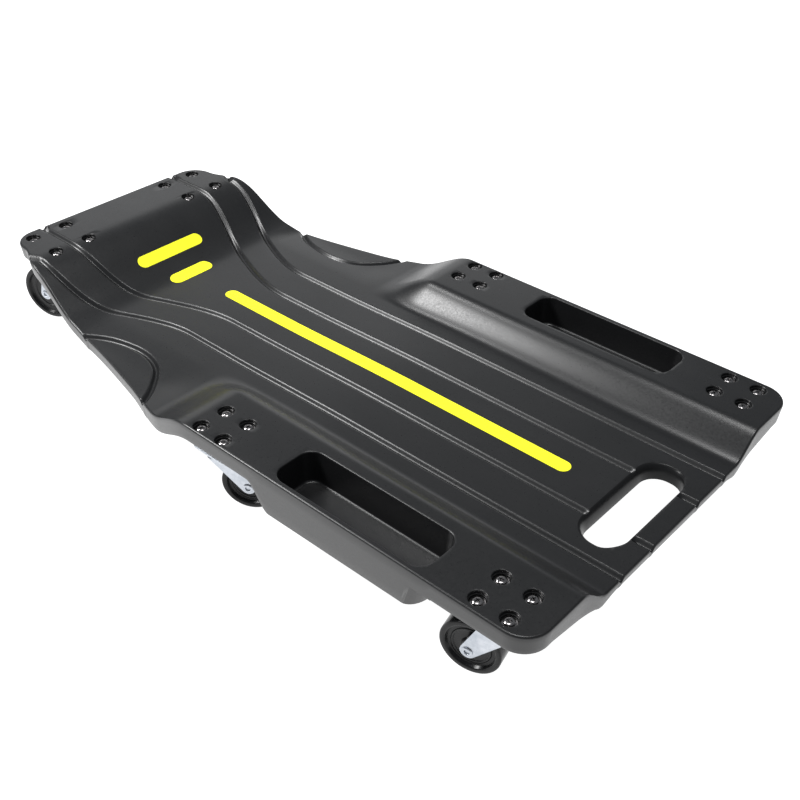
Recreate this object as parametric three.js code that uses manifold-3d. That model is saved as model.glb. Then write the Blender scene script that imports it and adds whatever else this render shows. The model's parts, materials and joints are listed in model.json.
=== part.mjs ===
// Mechanics creeper: a moulded bed that rolls on six swivel casters.
// Units are millimetres. X runs from the head end (-) to the foot end (+), Y is across, +Y is the
// left of a person lying on the bed, and Z is up. Every size below is measured from the floor under
// the bed's middle; the finished creeper then moves a little to stand centred on the origin.
import * as THREE from "three";
import { mergeVertices } from "three/addons/utils/BufferGeometryUtils.js";
import Module from "manifold-3d";

const wasm = await Module();
wasm.setup();

// ---------------------------------------------------------------- driving dimensions

const HALF_LENGTH = 457.2;

// The head casters trail past the bed's end, so the whole creeper's middle is this far along -X.
const CENTRE_SHIFT = 11;

const FOOT_CORNER = 30;
const HEAD_CORNER = 30;

// Half of the width along the bed, as [x, half width]; the corners are rounded off it.
const PLAN = [
  [-HALF_LENGTH, 156],
  [-425, 157],
  [-380, 174],
  [-330, 180],
  [-262, 187],
  [-143, 211],
  [-57, 234],
  [5, 242],
  [HALF_LENGTH, 242],
];

const HEAD_TOP = 120.3;
const SHOULDER_TOP = 100.8;
const DECK_TOP = { head: 71, foot: 74 };
const DECK_LEVELS_AT = { from: -100, to: 100 };
const HEAD_RAMP = { from: 287, to: 375 };
const SHOULDER_FRONT = { from: -75, to: 5 };
const SHOULDER_SLOPE = { from: 121, to: 165 };
const WAIST_DROP = { depth: 3.5, across: [130, 190], along: [60, 120], fades: [262, 287] };
// The edge thickens towards the shoulders before their tops begin to rise.
const THICKENING = [-140, -80];

const DECK_THICKNESS = 18;
const SHOULDER_THICKNESS = 23.8;
const HEAD_THICKNESS = 18.8;
const FOOT_EDGE_BEVEL = { depth: 7, along: [440, 456], across: [95, 125] };
const SIDE_DRAFT = 3;

const GROOVE = { halfWidth: 5, depth: 4.5 };
const INNER_GROOVE = { straight: 43, head: 108.5, from: 150, to: 385 };
const OUTER_GROOVE = { straight: 97, head: 160, from: 170, to: 375 };
const EAR = { x: -180, y: 236, alongX: 76, acrossY: 70, halfWidth: 5, depth: 4.5 };

const SLOT = { from: 388, to: 434, halfLength: 71, corner: 22 };
const TRAY = { x: [130, 330], y: [178, 235], floor: 64, corner: 17, draft: 3 };
const TRAY_BOX = {
  topX: [97, 345],
  topY: [173, 239],
  lowX: [122, 321],
  lowY: [177, 233.5],
  top: 90,
  low: 42,
  sharp: 6,
  round: 20,
};

const COUNTERBORE = { radius: 9.15, depth: 6.5, hole: 3.4 };
const SCREW = { head: 6, headHeight: 4, shank: 2.95, reach: 5 };
const GAP = 0.3;

const SMALL_CASTER = {
  wheelRadius: 31.75,
  wheelHalf: 12.5,
  trail: 26,
  plate: [54, 53],
  holes: [35.1, 34.3],
  race: 18,
  crown: 19.5,
  legHalfTop: 17,
  mount: SHOULDER_TOP - SHOULDER_THICKNESS,
};
const LARGE_CASTER = {
  wheelRadius: 38.1,
  wheelHalf: 16,
  trail: 27,
  plate: [73, 71],
  holes: [52.5, 50.4],
  race: 24,
  crown: 25,
  legHalfTop: 21,
  mount: HEAD_TOP - HEAD_THICKNESS,
};
const PLATE = { thickness: 2.5, corner: 7, raceDepth: 6 };
const KING_PIN = { radius: 4, head: 7.5, headHeight: 2.6 };
const FORK = { sheet: 2.3, boss: 8, clearance: 2 };
const AXLE = { radius: 3.5, head: 6.5, headHeight: 2 };
const WHEEL = { sides: 18, rimWidth: 7, webRecess: 5, edge: 2.5 };

const DECAL = { thickness: 0.4 };
const STRIPE = { from: -210, to: 331, halfWidth: 9 };
const LONG_BAR = { from: -329, to: -315, halfLength: 52.5 };
const SHORT_BAR = { from: -294, to: -274, halfLength: 33 };

// Each caster: where its king pin stands, and the way its wheel trails when the creeper is at rest.
const CASTERS = [
  { name: "head_right", kind: LARGE_CASTER, x: -412.2, y: -108.7, trails: 198 },
  { name: "head_left", kind: LARGE_CASTER, x: -412.2, y: 108.7, trails: 168 },
  { name: "middle_right", kind: SMALL_CASTER, x: 35.7, y: -213.3, trails: 30 },
  { name: "middle_left", kind: SMALL_CASTER, x: 35.7, y: 213.3, trails: -24 },
  { name: "foot_right", kind: SMALL_CASTER, x: 405.4, y: -209.3, trails: 193 },
  { name: "foot_left", kind: SMALL_CASTER, x: 405.4, y: 209.3, trails: 172 },
];

// Where the bed's surface is sampled along X: close together where it curves.
const STATIONS = [
  -HALF_LENGTH, -454, -444, -427, -400, -375, -360, -345, -330, -314, -294, -274, -245, -215, -180,
  -143, -105, -75, -55, -35, -15, 5, 100, 365, 428, 444, 454, HALF_LENGTH,
];

// ---------------------------------------------------------------- colours

const PLASTIC = { color: 0x26272a, roughness: 0.45, metalness: 0 };
const GRAPHIC = { color: 0xe6ff1e, roughness: 0.5, metalness: 0 };
const ZINC = { color: 0xc9d2da, roughness: 0.3, metalness: 1 };
const WHEEL_PLASTIC = { color: 0x141416, roughness: 0.35, metalness: 0 };

// ---------------------------------------------------------------- small helpers

const mix = (a, b, t) => a + (b - a) * t;

function ramp(value, from, to) {
  const t = Math.min(1, Math.max(0, (value - from) / (to - from)));
  return t * t * (3 - 2 * t);
}

// A smooth curve through [x, value] pairs, flat where the pairs turn back.
function through(pairs, x) {
  const last = pairs.length - 1;
  const slope = (i) => (pairs[i + 1][1] - pairs[i][1]) / (pairs[i + 1][0] - pairs[i][0]);
  const tangent = (i) => {
    if (i === 0 || i === last) return 0;
    const before = slope(i - 1);
    const after = slope(i);
    return before * after <= 0 ? 0 : (2 * before * after) / (before + after);
  };
  let i = 0;
  while (i < last - 1 && x > pairs[i + 1][0]) i += 1;
  const span = pairs[i + 1][0] - pairs[i][0];
  const t = (x - pairs[i][0]) / span;
  const rise = ramp(t, 0, 1);
  const start = t * (1 - t) * (1 - t) * span * tangent(i);
  const end = t * t * (1 - t) * span * tangent(i + 1);
  return mix(pairs[i][1], pairs[i + 1][1], rise) + start - end;
}

// How far a round corner pulls the outline in, at this distance past the corner's centre.
function cornerInset(past, radius) {
  if (past <= 0) return 0;
  return radius - Math.sqrt(Math.max(0, radius * radius - past * past));
}

function solid(geometry) {
  const bare = geometry.clone();
  bare.deleteAttribute("normal");
  bare.deleteAttribute("uv");
  const merged = mergeVertices(bare, 1e-4);
  const mesh = new wasm.Mesh({
    numProp: 3,
    vertProperties: new Float32Array(merged.attributes.position.array),
    triVerts: new Uint32Array(merged.index.array),
  });
  return new wasm.Manifold(mesh);
}

function surfaceOf(manifold) {
  const mesh = manifold.getMesh();
  const points = new Float32Array(mesh.numVert * 3);
  for (let i = 0; i < mesh.numVert; i += 1) {
    const start = i * mesh.numProp;
    points.set(mesh.vertProperties.subarray(start, start + 3), i * 3);
  }
  const geometry = new THREE.BufferGeometry();
  geometry.setAttribute("position", new THREE.BufferAttribute(points, 3));
  geometry.setIndex(new THREE.BufferAttribute(mesh.triVerts, 1));
  geometry.computeVertexNormals();
  return geometry;
}

function cylinder(radius, low, high, sides) {
  const geometry = new THREE.CylinderGeometry(radius, radius, high - low, sides);
  geometry.rotateX(Math.PI / 2);
  geometry.translate(0, 0, (low + high) / 2);
  return geometry;
}

// A rectangle with its own radius at each corner: low-low, high-low, high-high, low-high.
function roundedRectangle([x0, x1], [y0, y1], [r0, r1, r2, r3]) {
  const shape = new THREE.Shape();
  shape.absarc(x0 + r0, y0 + r0, r0, Math.PI, 1.5 * Math.PI);
  shape.absarc(x1 - r1, y0 + r1, r1, 1.5 * Math.PI, 2 * Math.PI);
  shape.absarc(x1 - r2, y1 - r2, r2, 0, 0.5 * Math.PI);
  shape.absarc(x0 + r3, y1 - r3, r3, 0.5 * Math.PI, Math.PI);
  return shape;
}

function plateOf(shape, low, high, curveSegments) {
  const depth = high - low;
  const geometry = new THREE.ExtrudeGeometry(shape, { depth, bevelEnabled: false, curveSegments });
  geometry.translate(0, 0, low);
  return geometry;
}

// A plate whose lower outline is squeezed from one rectangle into a smaller one, as draft does.
function drafted(shape, highX, highY, lowX, lowY, low, high, curveSegments) {
  const geometry = plateOf(shape, low, high, curveSegments);
  const points = geometry.attributes.position;
  const squeeze = (value, [a, b], [c, d]) => c + ((value - a) * (d - c)) / (b - a);
  for (let i = 0; i < points.count; i += 1) {
    if (points.getZ(i) > (low + high) / 2) continue;
    points.setX(i, squeeze(points.getX(i), highX, lowX));
    points.setY(i, squeeze(points.getY(i), highY, lowY));
  }
  return geometry;
}

// ---------------------------------------------------------------- the bed's surfaces

function halfWidth(x) {
  const foot = cornerInset(x - (HALF_LENGTH - FOOT_CORNER), FOOT_CORNER);
  const head = cornerInset(-x - (HALF_LENGTH - HEAD_CORNER), HEAD_CORNER);
  return through(PLAN, x) - foot - head;
}

const grooveAt = (groove, x) => mix(groove.straight, groove.head, ramp(-x, groove.from, groove.to));

const shoulderShare = (x, s) =>
  Math.min(
    ramp(x, SHOULDER_FRONT.from, SHOULDER_FRONT.to),
    ramp(s, SHOULDER_SLOPE.from, SHOULDER_SLOPE.to),
  );

const headShare = (x) => ramp(-x, HEAD_RAMP.from, HEAD_RAMP.to);

// The top without its grooves, at x and at distance s from the centre line.
function skin(x, s) {
  const level = mix(DECK_TOP.head, DECK_TOP.foot, ramp(x, DECK_LEVELS_AT.from, DECK_LEVELS_AT.to));
  const across = ramp(s, ...WAIST_DROP.across);
  const along = ramp(-x, ...WAIST_DROP.along) - ramp(-x, ...WAIST_DROP.fades);
  const deck = level - WAIST_DROP.depth * across * along;
  return mix(deck, HEAD_TOP, headShare(x)) + (SHOULDER_TOP - deck) * shoulderShare(x, s);
}

function grooveDepth(x, s) {
  const near = (groove) => 1 - Math.abs(s - grooveAt(groove, x)) / GROOVE.halfWidth;
  return GROOVE.depth * Math.max(0, near(INNER_GROOVE), near(OUTER_GROOVE));
}

const topHeight = (x, s) => skin(x, s) - grooveDepth(x, s);

function underHeight(x, s) {
  const slope = ramp(s, SHOULDER_SLOPE.from, SHOULDER_SLOPE.to);
  const plain = mix(DECK_THICKNESS, HEAD_THICKNESS, headShare(x));
  const thickness = mix(plain, SHOULDER_THICKNESS, Math.min(ramp(x, ...THICKENING), slope));
  const { depth, along, across } = FOOT_EDGE_BEVEL;
  return skin(x, s) - thickness + depth * ramp(x, ...along) * (1 - ramp(s, ...across));
}

// The distances from the centre line at which the bed's surface is sampled at x, centre to edge.
function columns(x) {
  const w = halfWidth(x);
  const g = GROOVE.halfWidth;
  const inner = grooveAt(INNER_GROOVE, x);
  const outer = grooveAt(OUTER_GROOVE, x);
  const near = [0, inner - g, inner, inner + g];
  const far = [Math.min(outer - g, w - 11), Math.min(outer, w - 9), Math.min(outer + g, w - 7)];
  const slope = SHOULDER_SLOPE;
  const start = OUTER_GROOVE.straight + g;
  const across = [0, 0.25, 0.5, 0.75, 1].map((t) => mix(slope.from, slope.to, t) - start);
  const reach = PLAN.at(-1)[1] - start;
  const rest = across.map((d) => mix(far[2], w, d / reach));
  return [...near, ...far, ...rest, w];
}

// A box whose grid of vertices is moved onto the bed's top and underside.
function bedShell() {
  const side = columns(0).length - 1;
  const rows = STATIONS.length - 1;
  const geometry = new THREE.BoxGeometry(1, 1, 1, rows, 2 * side, 1);
  const points = geometry.attributes.position;
  const grid = STATIONS.map(columns);
  for (let i = 0; i < points.count; i += 1) {
    const row = Math.round((points.getX(i) + 0.5) * rows);
    const column = Math.round((points.getY(i) + 0.5) * 2 * side) - side;
    const isTop = points.getZ(i) > 0;
    const x = STATIONS[row];
    const s = grid[row][Math.abs(column)];
    const edge = halfWidth(x);
    const pull = isTop ? 1 : (edge - SIDE_DRAFT) / edge;
    const shrink = isTop ? 1 : 1 - SIDE_DRAFT / HALF_LENGTH;
    const height = isTop ? topHeight(x, s) : underHeight(x * shrink, s * pull);
    points.setXYZ(i, x * shrink, Math.sign(column) * s * pull, height);
  }
  return solid(geometry);
}

// A V-shaped cutter along an arc that bites a rounded pad out of the waist's edge.
function earGroove(side) {
  const sweep = new THREE.EllipseCurve(
    EAR.x, side * EAR.y, EAR.alongX + 8, EAR.acrossY, 0, Math.PI, side > 0,
  );
  const steps = 12;
  const points = sweep.getPoints(steps);
  const geometry = new THREE.BoxGeometry(1, 1, 1, steps, 1, 1);
  const corners = geometry.attributes.position;
  for (let i = 0; i < corners.count; i += 1) {
    const at = Math.round((corners.getX(i) + 0.5) * steps);
    const isTop = corners.getZ(i) > 0;
    const isOuter = corners.getY(i) > 0;
    const before = points[Math.max(0, at - 1)];
    const after = points[Math.min(steps, at + 1)];
    const along = new THREE.Vector2().subVectors(after, before).normalize();
    const reach = (isTop ? EAR.halfWidth * 1.6 : 0.8) * (isOuter ? 1 : -1);
    const x = points[at].x - along.y * reach;
    const y = points[at].y + along.x * reach;
    const low = skin(points[at].x, Math.min(Math.abs(points[at].y), halfWidth(points[at].x)));
    corners.setXYZ(i, x, y, low + (isTop ? EAR.depth * 0.6 : -EAR.depth));
  }
  return solid(geometry);
}

function trayBox(side) {
  const { topX, topY, lowX, lowY, low, top, sharp, round } = TRAY_BOX;
  const toward = ([a, b]) => (side > 0 ? [a, b] : [-b, -a]);
  const radii = side > 0 ? [sharp, sharp, round, sharp] : [sharp, round, sharp, sharp];
  const shape = roundedRectangle(topX, toward(topY), radii);
  return solid(drafted(shape, topX, toward(topY), lowX, toward(lowY), low, top, 4));
}

function trayPocket(side) {
  const { x, y, floor, corner, draft } = TRAY;
  const across = side > 0 ? y : [-y[1], -y[0]];
  const inset = ([a, b]) => [a + draft, b - draft];
  const shape = roundedRectangle(x, across, [corner, corner, corner, corner]);
  return solid(drafted(shape, x, across, inset(x), inset(across), floor, SHOULDER_TOP + 1, 4));
}

function handSlot() {
  const { from, to, halfLength, corner } = SLOT;
  const radii = [corner, corner, corner, corner];
  const shape = roundedRectangle([from, to], [-halfLength, halfLength], radii);
  return solid(plateOf(shape, 0, HEAD_TOP, 6));
}

// The four screw positions around a caster's king pin.
function screwPlaces({ kind, x, y }) {
  const [along, across] = kind.holes.map((spacing) => spacing / 2);
  return [
    [x - along, y - across],
    [x + along, y - across],
    [x + along, y + across],
    [x - along, y + across],
  ];
}

const topOf = (caster) => (caster.kind === LARGE_CASTER ? HEAD_TOP : SHOULDER_TOP);

function counterbored(caster) {
  const floor = topOf(caster) - COUNTERBORE.depth;
  const wide = cylinder(COUNTERBORE.radius, floor, topOf(caster) + 5, 12);
  const narrow = cylinder(COUNTERBORE.hole, caster.kind.mount - 5, floor + 1, 8);
  const cutter = solid(wide).add(solid(narrow));
  return screwPlaces(caster).map(([x, y]) => cutter.translate([x, y, 0]));
}

function bed() {
  let body = bedShell();
  for (const side of [-1, 1]) {
    body = body.add(trayBox(side)).subtract(trayPocket(side)).subtract(earGroove(side));
  }
  body = body.subtract(handSlot());
  for (const hole of CASTERS.flatMap(counterbored)) body = body.subtract(hole);
  return surfaceOf(body);
}

// ---------------------------------------------------------------- the yellow graphic

// The height of the bed's top between two stations, where the sampled surface is flat.
function sampledHeight(x) {
  let i = 0;
  while (i < STATIONS.length - 2 && x > STATIONS[i + 1]) i += 1;
  const t = (x - STATIONS[i]) / (STATIONS[i + 1] - STATIONS[i]);
  return mix(skin(STATIONS[i], 0), skin(STATIONS[i + 1], 0), t);
}

// A strip with round ends, laid on the deck: across the bed, or along it with a point per station.
function decal(shape) {
  const geometry = plateOf(shape, GAP, GAP + DECAL.thickness, 6);
  const points = geometry.attributes.position;
  for (let i = 0; i < points.count; i += 1) {
    points.setZ(i, points.getZ(i) + sampledHeight(points.getX(i)));
  }
  return geometry;
}

function barDecal({ from, to, halfLength }) {
  const r = (to - from) / 2;
  const middle = (to + from) / 2;
  const shape = new THREE.Shape();
  shape.absarc(middle, halfLength - r, r, 0, Math.PI);
  shape.absarc(middle, r - halfLength, r, Math.PI, 2 * Math.PI);
  return decal(shape);
}

// The stripe is sampled at the same stations as the deck below it, and at more points in its ends.
function stripeDecal({ from, to, halfWidth: r }) {
  const ends = [0, 0.08, 0.3, 0.6, 1].map((share) => share * r);
  const between = STATIONS.filter((x) => x > from + r && x < to - r);
  const stops = [...ends.map((d) => from + d), ...between, ...ends.map((d) => to - d).reverse()];
  const steps = stops.length - 1;
  const geometry = new THREE.BoxGeometry(1, 1, 1, steps, 1, 1);
  const points = geometry.attributes.position;
  for (let i = 0; i < points.count; i += 1) {
    const x = stops[Math.round((points.getX(i) + 0.5) * steps)];
    const past = Math.max(0, r - (x - from), r - (to - x));
    const reach = Math.max(0.5, r - cornerInset(past, r));
    const lift = GAP + (points.getZ(i) > 0 ? DECAL.thickness : 0);
    points.setXYZ(i, x, Math.sign(points.getY(i)) * reach, sampledHeight(x) + lift);
  }
  return geometry;
}

// ---------------------------------------------------------------- screws and casters

// A round part turned about Z from [radius, height] pairs that start and end on the axis.
function turned(pairs, sides) {
  const profile = pairs.map(([radius, height]) => new THREE.Vector2(radius, height));
  const geometry = new THREE.LatheGeometry(profile, sides);
  geometry.rotateX(Math.PI / 2);
  return geometry;
}

// A pan-head screw whose head rests on the counterbore's floor; its shank ends below the plate.
function screw(caster) {
  const seat = topOf(caster) - COUNTERBORE.depth + GAP;
  const end = caster.kind.mount - PLATE.thickness - SCREW.reach;
  return turned(
    [
      [0, end],
      [SCREW.shank, end],
      [SCREW.shank, seat],
      [SCREW.head, seat],
      [SCREW.head * 0.7, seat + SCREW.headHeight],
      [0, seat + SCREW.headHeight],
    ],
    8,
  );
}

// The heights of a caster's stack, from the bed's underside down.
function stack({ kind }) {
  const plateTop = kind.mount - GAP;
  const plateLow = plateTop - PLATE.thickness;
  const raceLow = plateLow - PLATE.raceDepth;
  const crownTop = raceLow - GAP;
  const crownLow = crownTop - FORK.sheet;
  return { plateTop, plateLow, raceLow, crownTop, crownLow };
}

function topPlate(caster) {
  const { plateTop, plateLow, raceLow } = stack(caster);
  const [a, b] = caster.kind.plate.map((size) => size / 2);
  const c = PLATE.corner;
  const sheet = solid(plateOf(roundedRectangle([-a, a], [-b, b], [c, c, c, c]), plateLow, plateTop, 1));
  let body = sheet.add(solid(cylinder(caster.kind.race, raceLow, plateLow + 1, 12)));
  for (const [x, y] of screwPlaces({ ...caster, x: 0, y: 0 })) {
    const hole = cylinder(COUNTERBORE.hole, plateLow - 1, plateTop + 1, 6);
    body = body.subtract(solid(hole.translate(x, y, 0)));
  }
  const bore = cylinder(KING_PIN.radius + 0.6, raceLow - 1, plateTop + 1, 8);
  return surfaceOf(body.subtract(solid(bore)));
}

function kingPin(caster) {
  const { plateTop, crownLow } = stack(caster);
  const headTop = crownLow - GAP;
  return turned(
    [
      [0, headTop - KING_PIN.headHeight],
      [KING_PIN.head, headTop - KING_PIN.headHeight],
      [KING_PIN.head, headTop],
      [KING_PIN.radius, headTop],
      [KING_PIN.radius, plateTop - GAP],
      [0, plateTop - GAP],
    ],
    8,
  );
}

// Where a line from this point touches a circle, on its left or right side.
function touch(point, centre, radius, side) {
  const away = new THREE.Vector2().subVectors(point, centre);
  const angle = away.angle() + side * Math.acos(radius / away.length());
  return angle;
}

function forkLeg(caster, inner) {
  const { crownTop } = stack(caster);
  const axle = new THREE.Vector2(caster.kind.trail, caster.kind.wheelRadius);
  const left = new THREE.Vector2(-caster.kind.legHalfTop, crownTop);
  const right = new THREE.Vector2(caster.kind.legHalfTop, crownTop);
  const shape = new THREE.Shape();
  shape.moveTo(right.x, right.y);
  shape.lineTo(left.x, left.y);
  const start = touch(left, axle, FORK.boss, 1);
  const end = touch(right, axle, FORK.boss, -1);
  shape.absarc(axle.x, axle.y, FORK.boss, start, end + (end < start ? 2 * Math.PI : 0));
  const leg = plateOf(shape, 0, FORK.sheet, 5);
  leg.rotateX(Math.PI / 2);
  leg.translate(0, inner, 0);
  return leg;
}

const forkInside = (caster) => caster.kind.wheelHalf + FORK.clearance;

function fork(caster) {
  const { crownTop, crownLow } = stack(caster);
  const { trail, wheelRadius, crown, legHalfTop } = caster.kind;
  const inside = forkInside(caster);
  const outside = inside + FORK.sheet;
  const across = [-outside, outside];
  const top = roundedRectangle([-legHalfTop, legHalfTop], across, [0.5, 0.5, 0.5, 0.5]);
  let body = solid(plateOf(top, crownLow, crownTop, 1));
  body = body.add(solid(cylinder(crown, crownLow, crownTop, 12)));
  body = body.add(solid(forkLeg(caster, outside))).add(solid(forkLeg(caster, -inside)));
  const pinHole = cylinder(KING_PIN.radius + 0.6, crownLow - 1, crownTop + 1, 8);
  const axleHole = cylinder(AXLE.radius + 0.6, -outside - 1, outside + 1, 8);
  axleHole.rotateX(Math.PI / 2);
  axleHole.translate(trail, 0, wheelRadius);
  return surfaceOf(body.subtract(solid(pinHole)).subtract(solid(axleHole)));
}

// Turned parts stand about Y once a profile drawn about Z is laid over.
function aboutAxle(geometry, { kind }) {
  geometry.rotateX(Math.PI / 2);
  return geometry.translate(kind.trail, 0, kind.wheelRadius);
}

function axle(caster) {
  const face = forkInside(caster) + FORK.sheet + GAP;
  const end = face + AXLE.headHeight;
  const half = [
    [AXLE.head, end],
    [AXLE.head, face],
    [AXLE.radius, face],
  ];
  const other = half.map(([radius, along]) => [radius, -along]).reverse();
  const profile = [[0, end], ...half, ...other, [0, -end]].reverse();
  return aboutAxle(turned(profile, 8), caster);
}

// The wheel's flats touch the floor, so its corners stand a little outside its radius.
function wheel(caster) {
  const { wheelRadius, wheelHalf } = caster.kind;
  const outer = wheelRadius / Math.cos(Math.PI / WHEEL.sides);
  const rim = outer - WHEEL.rimWidth;
  const bore = AXLE.radius + 0.6;
  const half = [
    [bore, wheelHalf],
    [rim, wheelHalf - WHEEL.webRecess],
    [rim, wheelHalf],
    [outer - WHEEL.edge, wheelHalf],
    [outer, wheelHalf - WHEEL.edge],
  ];
  const other = half.map(([radius, along]) => [radius, -along]).reverse();
  const profile = [...half, ...other, half[0]].reverse();
  const points = profile.map(([radius, along]) => new THREE.Vector2(radius, along));
  const geometry = new THREE.LatheGeometry(points, WHEEL.sides, Math.PI / WHEEL.sides);
  return geometry.translate(caster.kind.trail, 0, wheelRadius);
}

// ---------------------------------------------------------------- assembly

function piece(name, geometry, look) {
  const mesh = new THREE.Mesh(geometry, new THREE.MeshStandardMaterial(look));
  mesh.name = name;
  return mesh;
}

function casterGroup(caster) {
  const group = new THREE.Group();
  group.position.set(caster.x, caster.y, 0);
  group.add(piece(`top_plate_${caster.name}`, topPlate(caster), ZINC));
  group.add(piece(`king_pin_${caster.name}`, kingPin(caster), ZINC));
  const swivel = new THREE.Group();
  swivel.rotation.z = THREE.MathUtils.degToRad(caster.trails);
  swivel.add(piece(`fork_${caster.name}`, fork(caster), ZINC));
  swivel.add(piece(`axle_${caster.name}`, axle(caster), ZINC));
  swivel.add(piece(`wheel_${caster.name}`, wheel(caster), WHEEL_PLASTIC));
  group.add(swivel);
  return group;
}

function screwGroup(caster) {
  const group = new THREE.Group();
  screwPlaces(caster).forEach(([x, y], i) => {
    const mesh = piece(`screw_${caster.name}_${i + 1}`, screw(caster), ZINC);
    mesh.position.set(x, y, 0);
    group.add(mesh);
  });
  return group;
}

const creeper = new THREE.Group();
creeper.add(piece("bed", bed(), PLASTIC));
creeper.add(piece("centre_stripe", stripeDecal(STRIPE), GRAPHIC));
creeper.add(piece("long_bar", barDecal(LONG_BAR), GRAPHIC));
creeper.add(piece("short_bar", barDecal(SHORT_BAR), GRAPHIC));
for (const caster of CASTERS) creeper.add(screwGroup(caster), casterGroup(caster));
creeper.position.x = CENTRE_SHIFT;

export default creeper;
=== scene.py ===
# Mechanics creeper: the finished look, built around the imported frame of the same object.
# Sizes below are millimetres measured from the floor under the bed's middle; Blender gets metres.
import json
import math

import bmesh
import bpy
import numpy as np
from mathutils import Matrix, Vector


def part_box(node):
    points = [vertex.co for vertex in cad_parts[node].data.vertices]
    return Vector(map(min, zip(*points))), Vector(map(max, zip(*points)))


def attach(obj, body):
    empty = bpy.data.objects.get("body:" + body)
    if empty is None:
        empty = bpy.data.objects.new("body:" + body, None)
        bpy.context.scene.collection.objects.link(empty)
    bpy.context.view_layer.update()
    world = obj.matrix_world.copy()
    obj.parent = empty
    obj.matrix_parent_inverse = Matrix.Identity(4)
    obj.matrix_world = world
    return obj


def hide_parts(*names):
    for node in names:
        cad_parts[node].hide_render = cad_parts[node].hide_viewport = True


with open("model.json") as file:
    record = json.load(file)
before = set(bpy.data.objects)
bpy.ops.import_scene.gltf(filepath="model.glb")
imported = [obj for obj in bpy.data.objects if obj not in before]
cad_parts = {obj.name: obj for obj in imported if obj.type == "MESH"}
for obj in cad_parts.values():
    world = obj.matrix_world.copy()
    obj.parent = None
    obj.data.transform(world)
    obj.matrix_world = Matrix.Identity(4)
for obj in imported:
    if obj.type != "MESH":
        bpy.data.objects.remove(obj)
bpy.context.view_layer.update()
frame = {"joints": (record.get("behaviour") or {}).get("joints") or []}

BODY = "bed"
MM = 0.001

# ---- driving dimensions

BED_LOW, BED_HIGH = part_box("bed")
HALF_LENGTH = (BED_HIGH.x - BED_LOW.x) / 2 / MM
TO_ROW = Matrix.Translation(((BED_HIGH.x + BED_LOW.x) / 2, 0, 0))
ORIGIN = Matrix.Identity(4)
CORNER = 30

# Half of the width along the bed, as (x, half width); the corners are rounded off it.
PLAN = (
    (-HALF_LENGTH, 156), (-425, 157), (-380, 174), (-330, 180), (-262, 187),
    (-143, 211), (-57, 234), (5, 242), (HALF_LENGTH, 242),
)

HEAD_TOP = 120.3
SHOULDER_TOP = 100.8
DECK_HEAD, DECK_FOOT = 71, 74
HEAD_RAMP = (268, 400)
SHOULDER_FRONT = (-75, 5)
SHOULDER_SLOPE = (121, 165)
WAIST_DROP = {"depth": 3.5, "across": (130, 190), "along": (60, 120), "fades": (262, 288)}
# At the foot end the underside climbs to the shoulder slowly: its height is low + rise * (s - start).
FOOT_UNDER = {"x": (434, 452), "low": 58, "start": 110, "rise": 0.2}
# The edge thickens towards the shoulders before their tops begin to rise.
THICKENING = (-140, -80)

DECK_THICK, SHOULDER_THICK, HEAD_THICK = 18, 23.8, 18.8
FOOT_BEVEL = {"depth": 7, "x": (440, 456), "across": (102, 132)}
EDGE = {"top": 2.4, "bottom": 1.5, "slope": 0.10}

# A lip hangs from the shoulder's outer edge beside the middle casters.
EDGE_LIP = {"depth": 2.4, "from": (-110, -40), "to": (80, 104)}

GROOVE = {"half": 5.4, "depth": 4.4}
INNER = {"straight": 43, "head": 108.5, "x": (150, 385)}
OUTER = {"straight": 97, "head": 160, "x": (170, 375), "exit": (-385, 0.5)}
# The inner grooves stop short of the hand slot and start again on the grip bar.
INNER_GAP = (379, 439)
# The line of the groove around each rounded pad on the waist, as (x, distance from the middle).
EAR = (
    (-276, 196), (-250, 177.5), (-221, 166), (-180, 160.5),
    (-145, 169), (-120, 192), (-104, 214), (-96, 232),
)

SLOT = {"x": (387, 434), "half": 71, "corner": 22, "roll": (7, 17), "edge": 1.2, "under": 0.6}
TRAY = {
    "x": (130, 330), "y": (178, 235), "floor": 64,
    "corner": 17, "draft": 3, "lip": 1.8, "fillet": 3.0,
}
TRAY_BOX = {"head": (97, 122), "foot": (332, 345), "inner": (173, 178), "drop": (35.2, 32.4)}
# The foot end of the tray's box, below the shoulder: its corner's reach along X and across Y, and
# where the cut behind it stops. Each of its levels is (end's x, side's distance from the middle, height).
BOX_END = {
    "along": 18, "across": 24, "past": 352, "inner": 168, "outside": 8,
    "levels": ((314.5, 234.2, 20), (333, 239.9, 77.05)),
}

BORE = {
    "radius": 9.15, "depth": 6.5, "hole": 3.4, "lip": 0.9,
    "ledge": 3.2, "step": 0.8, "floor_bevel": 0.6, "ledge_bevel": 0.3,
}

# Cutting tools run past the surface by this much, and their lips start this far above it.
PAST = 6
SKIM = {"tray": 0.08, "slot": 0.1, "bore": 0.05}

# A cross recess is cut by arms, as (half length, half width, height above the screw's crown).
SCREW = {
    "head": 5.4, "height": 3.0, "shank": 2.95, "reach": 5, "dome": 0.35,
    "recess": ((1.4, 0.4, -2.1), (3.2, 0.65, 0.5)),
}
WASHER = {"radius": 7.6, "thick": 1.0, "play": 0.35}
NUT = {"flats": 10, "height": 4.4, "chamfer": 0.7, "play": 0.1, "points": 36}
# Washers, screws and nuts seat this far off what they rest on.
SEAT = {"washer": 0.02, "screw": 0.05, "nut": 0.05}

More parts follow.
